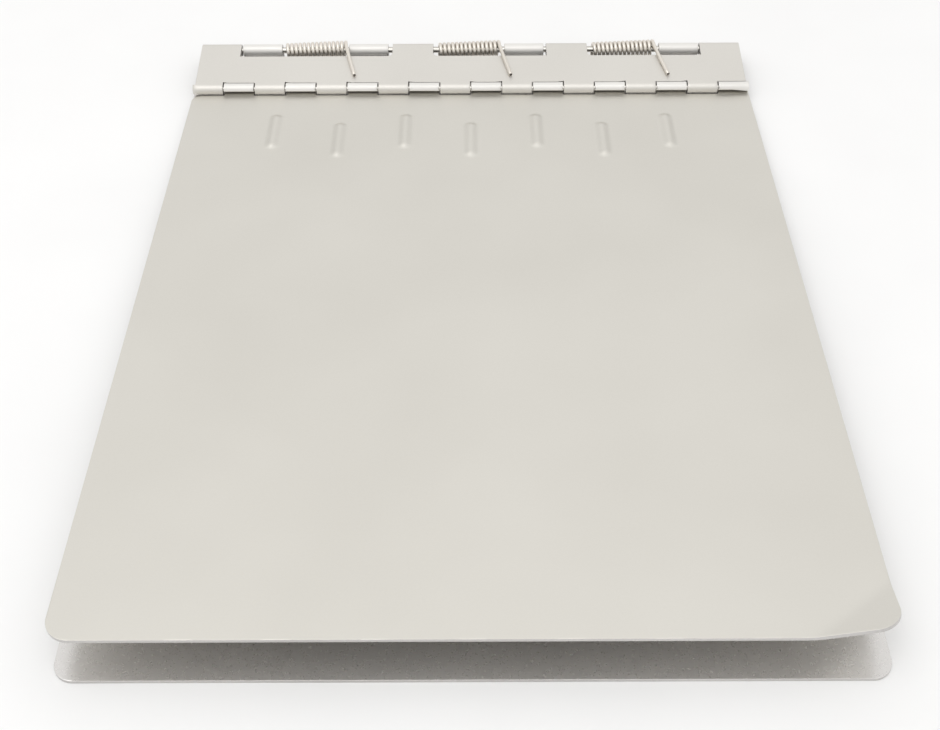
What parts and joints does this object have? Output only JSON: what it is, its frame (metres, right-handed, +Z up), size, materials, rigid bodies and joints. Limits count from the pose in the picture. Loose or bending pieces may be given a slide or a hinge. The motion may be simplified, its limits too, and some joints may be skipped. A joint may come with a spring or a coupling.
{
  "type": "clipboard",
  "caption": "Sheet-metal flip-cover clipboard: a back plate, a spring-loaded clamp strip along its top edge, and a hinged cover plate with pressed ribs and a raised thumb corner.",
  "frame": {"origin": "centre of the footprint, on the underside of the back plate", "axes": "+X along the hinges to the side with the raised thumb corner, +Y from the free edges towards the hinges, +Z up out of the back plate"},
  "size_m": [0.2286, 0.3058, 0.0196],
  "materials": {
    "back_plate": "satin",
    "clamp_strip": "satin",
    "cover_plate": "satin",
    "spring_hinge_pin": "bright drawn wire",
    "cover_hinge_pin": "bright drawn wire",
    "left_spring": "nickel-plated spring wire",
    "middle_spring": "nickel-plated spring wire",
    "right_spring": "nickel-plated spring wire"
  },
  "bodies": {
    "base": {"back_plate": "back_plate", "spring_hinge_pin": "spring_hinge_pin", "left_spring": "left_spring", "middle_spring": "middle_spring", "right_spring": "right_spring"},
    "clamp": {"clamp_strip": "clamp_strip", "cover_hinge_pin": "cover_hinge_pin"},
    "cover": {"cover_plate": "cover_plate"}
  },
  "joints": [
    {"name": "clamp_hinge", "type": "hinge", "parent": "base", "child": "clamp", "pos_m": [0, 0.1494, 0.0066], "axis": [-1, 0, 0], "range_deg": [0, 45], "stiffness_Nm_per_rad": 0.62, "springref_deg": -34.38, "deforming": ["left_spring", "middle_spring", "right_spring"]},
    {"name": "cover_hinge", "type": "hinge", "parent": "clamp", "child": "cover", "pos_m": [0, 0.1247, 0.0038], "axis": [-1, 0, 0], "range_deg": [-2.8, 130]}
  ]
}
